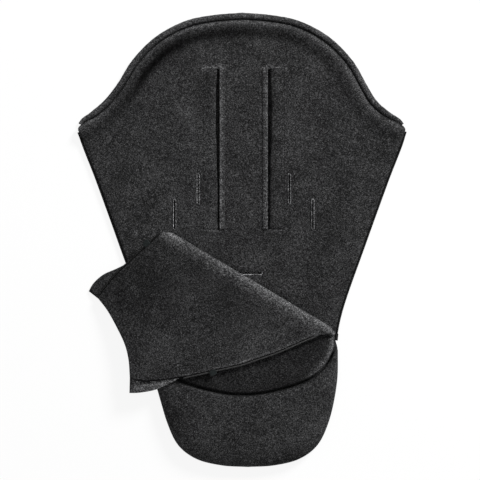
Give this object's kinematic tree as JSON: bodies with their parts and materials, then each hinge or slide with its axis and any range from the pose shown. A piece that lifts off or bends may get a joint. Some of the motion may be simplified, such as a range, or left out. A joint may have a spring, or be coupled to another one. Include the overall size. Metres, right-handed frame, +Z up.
{
  "type": "stroller sleeping bag",
  "caption": "Padded felt stroller bag lying open on its back: hood with casing, harness slits, bound belt slots, foot pocket, and a zip-off front cover folded over to one side.",
  "frame": {"origin": "centre of the bounding box, on the surface that the bag lies on", "axes": "+Y to the hood, +Z up out of the back's lining, +X to the right with the cover folded to the left"},
  "size_m": [0.7158, 0.9968, 0.0421],
  "materials": {
    "felt_shell": "matt melange felt",
    "felt_lining": "matt brushed felt",
    "wadding": "matt",
    "binding": "matt woven",
    "zip_tape": "matt woven",
    "zip_teeth": "satin",
    "slider_metal": "dark satin"
  },
  "bodies": {
    "back": {"back_lining": "felt_lining", "back_padding": "wadding", "back_shell": "felt_shell", "back_zip_stop_left": "zip_teeth", "back_zip_stop_right": "zip_teeth", "back_zip_tape_left": "zip_tape", "back_zip_tape_right": "zip_tape", "back_zip_teeth_left": "zip_teeth", "back_zip_teeth_right": "zip_teeth", "belt_slot_binding_inner_left": "binding", "belt_slot_binding_inner_right": "binding", "belt_slot_binding_outer_left": "binding", "belt_slot_binding_outer_right": "binding", "cover_base_lining": "felt_lining", "cover_base_padding": "wadding", "cover_base_shell": "felt_shell", "cover_fold_roll": "felt_lining", "cover_zip_tape_base": "zip_tape", "cover_zip_teeth_base": "zip_teeth", "crotch_slot_binding": "binding", "foot_front_lining": "felt_lining", "foot_front_padding": "wadding", "foot_front_shell": "felt_shell", "harness_slit_facing_left": "binding", "harness_slit_facing_right": "binding", "hood_casing": "felt_shell", "zip_box_left": "zip_teeth", "zip_box_right": "zip_teeth"},
    "cover_flap": {"cover_flap_lining": "felt_lining", "cover_flap_padding": "wadding", "cover_flap_shell": "felt_shell", "cover_zip_stop_left": "zip_teeth", "cover_zip_stop_right": "zip_teeth", "cover_zip_tape_left": "zip_tape", "cover_zip_tape_right": "zip_tape", "cover_zip_teeth_left": "zip_teeth", "cover_zip_teeth_right": "zip_teeth"},
    "slider_right": {"zip_slider_right": "slider_metal"},
    "slider_left": {"zip_slider_left": "slider_metal"},
    "pull_right": {"pull_tab_right": "slider_metal"},
    "pull_left": {"pull_tab_left": "slider_metal"},
    "harness_flap_left": {"harness_flap_lining_left": "felt_lining", "harness_flap_padding_left": "wadding", "harness_flap_shell_left": "felt_shell"},
    "harness_flap_right": {"harness_flap_lining_right": "felt_lining", "harness_flap_padding_right": "wadding", "harness_flap_shell_right": "felt_shell"}
  },
  "joints": [
    {"name": "cover_fold", "type": "hinge", "parent": "back", "child": "cover_flap", "pos_m": [0.20188, -0.20778, 0.031], "axis": [-0.8603, 0.5098, 0], "range_deg": [0, 175], "deforming": ["cover_fold_roll"]},
    {"name": "slider_right_travel", "type": "slide", "parent": "cover_flap", "child": "slider_right", "axis": [-0.976, -0.2178, 0], "range_m": [-0.055, 0.055]},
    {"name": "slider_left_travel", "type": "slide", "parent": "cover_flap", "child": "slider_left", "axis": [0.7326, 0.6645, 0.1475], "range_m": [-0.045, 0.011]},
    {"name": "pull_right_swing", "type": "hinge", "parent": "slider_right", "child": "pull_right", "pos_m": [-0.06617, -0.29052, 0.0316], "axis": [0, 0, 1], "range_deg": [-60, 60]},
    {"name": "pull_left_swing", "type": "hinge", "parent": "slider_left", "child": "pull_left", "pos_m": [-0.20615, -0.005, 0.02713], "axis": [-0.1093, -0.0991, 0.9891], "range_deg": [-60, 60]},
    {"name": "harness_flap_left_lift", "type": "hinge", "parent": "back", "child": "harness_flap_left", "pos_m": [-0.086, 0.198, 0.0106], "axis": [0, 1, 0], "range_deg": [-150, 0]},
    {"name": "harness_flap_right_lift", "type": "hinge", "parent": "back", "child": "harness_flap_right", "pos_m": [0.092, 0.198, 0.0106], "axis": [0, -1, 0], "range_deg": [-150, 0]}
  ]
}
